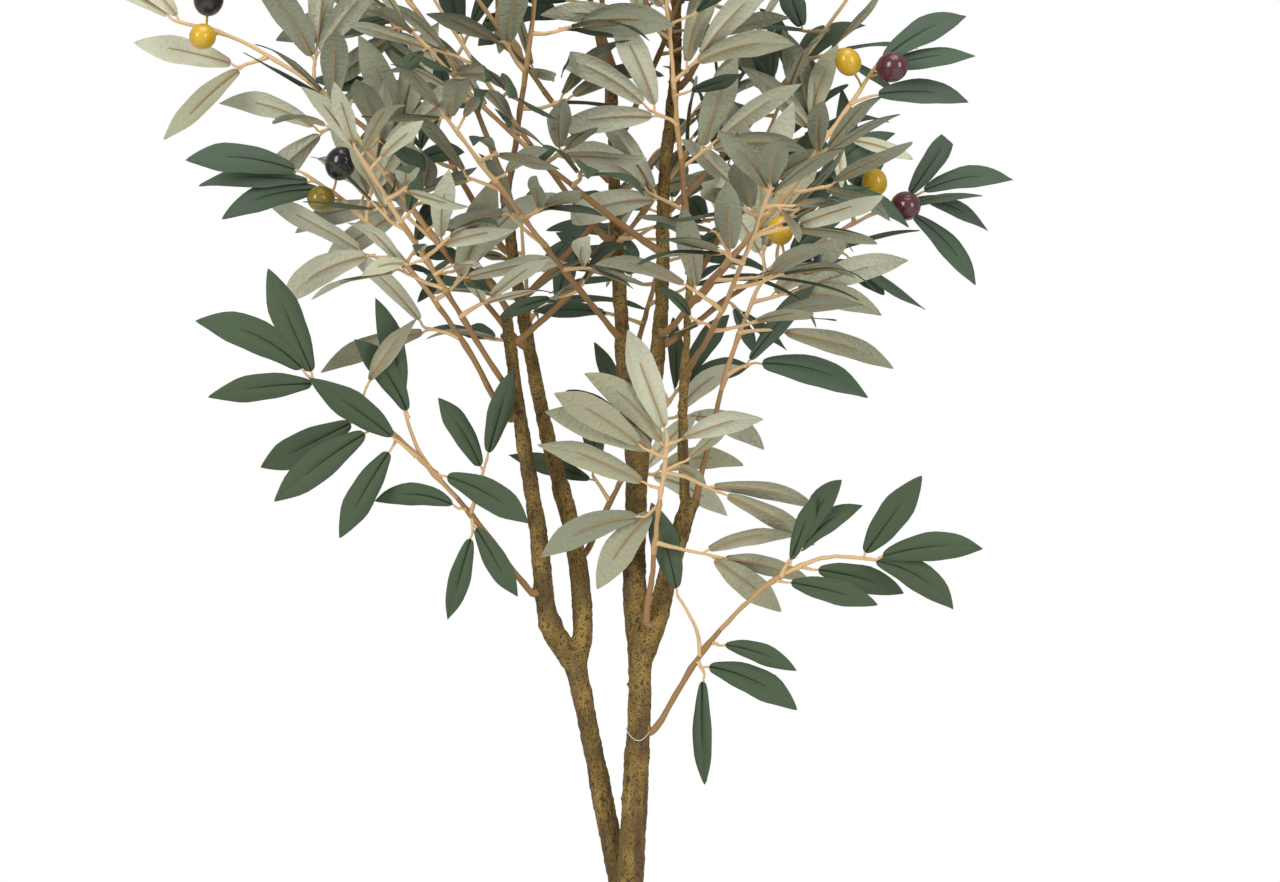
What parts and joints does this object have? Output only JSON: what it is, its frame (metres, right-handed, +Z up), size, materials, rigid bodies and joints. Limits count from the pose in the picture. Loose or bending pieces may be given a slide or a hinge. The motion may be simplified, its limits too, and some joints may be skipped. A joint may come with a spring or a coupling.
{
  "type": "artificial olive tree in a nursery pot",
  "caption": "Artificial olive tree: two crossing trunks with forked limbs, sprays of narrow grey-green fabric leaves with olives, in a plain weighted nursery pot.",
  "frame": {"origin": "middle of the pot's flat underside", "axes": "+Z up along the tree, -Y towards the side from which the tree is seen in front view, +X to the right of that view"},
  "size_m": [0.7068, 0.5724, 1.4955],
  "materials": {
    "pot": "satin black moulded plastic",
    "fill": "rough grey cement",
    "bark": "rough olive-brown bark, matt",
    "leaves": "matt woven leaf fabric on wire stems"
  },
  "bodies": {
    "root": {"limb_a": "bark", "limb_b": "bark", "limb_c": "bark", "limb_d": "bark", "limb_e": "bark", "limb_f": "bark", "pot": "pot", "pot_fill": "fill", "spray_a1": "leaves", "spray_a2": "leaves", "spray_b1": "leaves", "spray_b2": "leaves", "spray_b3": "leaves", "spray_b4": "leaves", "spray_b5": "leaves", "spray_back": "leaves", "spray_centre": "leaves", "spray_d1": "leaves", "spray_d2": "leaves", "spray_e1": "leaves", "spray_e10": "leaves", "spray_e2": "leaves", "spray_e5": "leaves", "spray_e7": "leaves", "spray_e8": "leaves", "spray_e9": "leaves", "spray_f1": "leaves", "spray_f10": "leaves", "spray_f11": "leaves", "spray_f3": "leaves", "spray_f4": "leaves", "spray_f7": "leaves", "spray_f8": "leaves", "spray_f9": "leaves", "spray_far_right": "leaves", "spray_front": "leaves", "spray_left": "leaves", "spray_low_left": "leaves", "spray_low_right": "leaves", "spray_right": "leaves", "spray_top_e": "leaves", "spray_top_f": "leaves", "spray_top_left": "leaves", "spray_upper_left": "leaves", "spray_upper_right": "leaves", "trunk_left": "bark", "trunk_right": "bark"}
  },
  "joints": []
}
